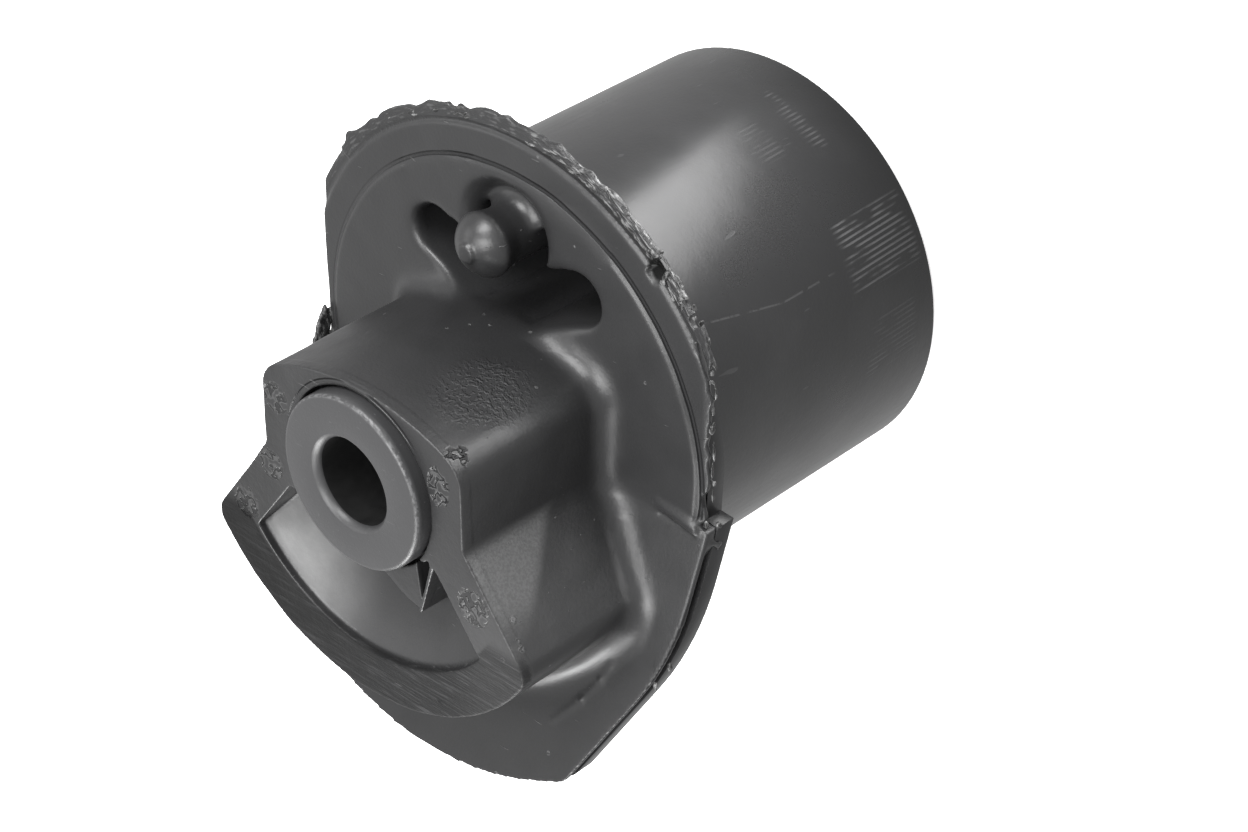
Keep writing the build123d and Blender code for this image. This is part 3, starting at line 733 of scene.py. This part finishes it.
for angle, out, z, along, across, height, skew in (
        (51.1, 40.0, 51.9, 0.9, 0.45, 0.6, 25), (50.6, 40.4, 51.5, 0.5, 0.35, 0.6, 60),
        (46.7, 39.6, 51.8, 0.45, 0.9, 0.45, 10), (46.0, 38.4, 52.0, 0.4, 0.8, 0.3, -20),
        (44.6, 40.5, 51.5, 1.2, 0.28, 0.45, 5), (43.4, 38.6, 51.9, 1.2, 0.30, 0.30, -12),
        (42.2, 40.2, 51.7, 0.8, 0.45, 0.5, 20), (41.6, 39.6, 51.9, 0.55, 0.5, 0.5, 0),
        (40.6, 39.2, 51.9, 0.5, 0.35, 0.4, 50), (39.3, 40.3, 51.3, 0.6, 0.25, 0.45, -30),
        (37.8, 39.9, 51.6, 0.35, 0.30, 0.4, 15), (36.4, 40.2, 51.2, 0.5, 0.2, 0.5, -45),
        (34.9, 40.0, 51.4, 0.4, 0.25, 0.45, 40), (33.2, 40.0, 51.5, 0.65, 0.5, 0.55, 10)):
    rim_crumb(angle, out, z, along, across, height, skew, random.uniform(-0.3, 0.3))
for x, y, z, along, across, height, turn in (
        (34.5, 12.4, 51.3, 1.0, 0.22, 0.35, 96), (34.1, 10.4, 51.6, 1.6, 0.20, 0.30, 104),
        (34.6, 9.6, 51.3, 1.2, 0.20, 0.3, 82), (34.0, 8.2, 51.9, 0.4, 0.32, 0.35, 20),
        (34.7, 6.2, 51.2, 1.6, 0.18, 0.28, 92), (34.6, 3.2, 51.3, 1.6, 0.17, 0.26, 88),
        (34.8, 1.4, 51.1, 0.5, 0.25, 0.3, 70), (34.7, -0.6, 51.2, 1.2, 0.17, 0.26, 91),
        (34.3, 19.2, 51.2, 1.3, 0.2, 0.35, 118), (34.3, 17.6, 51.4, 0.45, 0.4, 0.4, 60)):
    add_crumb(x, y, z, along, across, height, turn, random.uniform(-0.2, 0.2))

# A thread of rubber that came half off stands out from the rim as a flat loop.
bpy.ops.object.select_all(action="DESELECT")
bpy.ops.mesh.primitive_torus_add(location=(0.0344, 0.0150, 0.0514), rotation=(0.1, 0.35, 0), major_segments=40,
                                 minor_segments=8, major_radius=0.00075, minor_radius=0.00019)
bpy.context.object.scale = (0.75, 2.0, 1.0)
crumbs.append(bpy.context.object)
for middle, spread, count in ((100, 4, 7), (108, 3, 3), (114, 4, 6), (122, 4, 3), (131, 4, 4)):
    for i in range(count):
        rim_crumb(middle + random.uniform(-spread, spread), random.uniform(38.9, 39.8), random.uniform(51.1, 52.0),
                  random.uniform(0.4, 1.1), random.uniform(0.16, 0.3), random.uniform(0.15, 0.35),
                  random.uniform(-25, 25), random.uniform(-0.4, 0.4))
for i in range(12):
    add_crumb(random.uniform(-35.1, -34.3), random.uniform(3, 20), random.uniform(51.1, 52.0),
              random.uniform(0.4, 0.9), random.uniform(0.16, 0.28), random.uniform(0.15, 0.35),
              90 + random.uniform(-25, 25), random.uniform(-0.4, 0.4))
torn_flash = knit_crumbs("torn_flash", 1, 80000)

torn_rubber = new_finish("torn_rubber", (0.05, 0.05, 0.05), 0.42, 0.40)
ux, uy, uz = apart(torn_rubber, place_on(torn_rubber))
torn_turn = step(torn_rubber, "ARCTAN2", uy, ux)
torn_lie = drawn_grain(torn_rubber, torn_turn, round_out(torn_rubber, ux, uy), uz, 0.5, 3.0)
torn_pale = times(torn_rubber, fade(torn_rubber, torn_lie, 0.45, 0.68),
                  fade(torn_rubber, grain(torn_rubber, 3.0, detail=2.0), 0.35, 0.6, 0.25, 1.0))
lay_on(torn_rubber, tint(torn_rubber, torn_pale, (0.008, 0.008, 0.008), (0.17, 0.17, 0.17)),
       step(torn_rubber, "ADD", times(torn_rubber, grain(torn_rubber, 0.4), 0.25), 0.30),
       raise_skin(torn_rubber, grain(torn_rubber, 0.35, detail=4.0), 0.10))
torn_flash.data.materials.clear()
torn_flash.data.materials.append(torn_rubber)
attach(torn_flash, "root")


# Fold tears: at both ends of the fold the rubber was pinched by the mould and stands out in little balls, and on the
# left in a ragged flap. Like the torn flash they are part of the moulding and hang on its rim.
for side in (1, -1):
    for x, y, z, along, across, height, turn in (
            (34.3, -6.1, 51.3, 0.85, 0.85, 0.85, 0), (33.6, -6.0, 52.7, 0.9, 0.7, 0.45, 15),
            (34.1, -8.1, 52.1, 0.8, 0.9, 0.5, -20), (34.6, -8.9, 51.4, 0.6, 0.6, 0.6, 40),
            (33.0, -7.3, 52.9, 0.7, 0.35, 0.35, 60), (34.7, -7.2, 51.9, 0.5, 0.35, 0.5, 10),
            (32.6, -6.2, 52.9, 0.6, 0.3, 0.3, 150), (34.9, -10.2, 51.4, 0.35, 0.9, 0.35, 5),
            (34.4, -4.6, 52.0, 0.35, 0.6, 0.4, 12), (33.8, -9.4, 53.0, 0.5, 0.3, 0.3, 100),
            (35.0, -5.3, 50.3, 0.5, 0.5, 0.5, 0), (35.3, -22.4, 59.6, 0.4, 0.8, 0.4, -10),
            (33.9, -25.6, 60.8, 0.35, 0.7, 0.35, 20)):
        add_crumb(side * x, y, z, along, across, height, side * turn, random.uniform(-0.3, 0.3))
for x, y, z, along, across, height, turn, lean in (
        (-35.15, -3.0, 53.9, 0.45, 2.5, 0.75, 0, -0.41), (-35.05, -3.5, 53.0, 0.5, 2.3, 0.85, 3, -0.38),
        (-35.2, -5.2, 54.7, 0.45, 1.2, 0.8, -6, -0.5), (-35.1, -1.4, 53.1, 0.5, 1.1, 0.5, 10, -0.2),
        (-35.0, -5.4, 53.4, 0.5, 1.0, 0.9, 12, 0.2), (-34.9, -2.2, 52.2, 0.5, 1.4, 0.6, 0, 0.0)):
    add_crumb(x, y, z, along, across, height, turn, lean)
fold_tears = knit_crumbs("fold_tears", 2, 40000)
fold_tears.data.materials.clear()
fold_tears.data.materials.append(torn_rubber)
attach(fold_tears, "root")
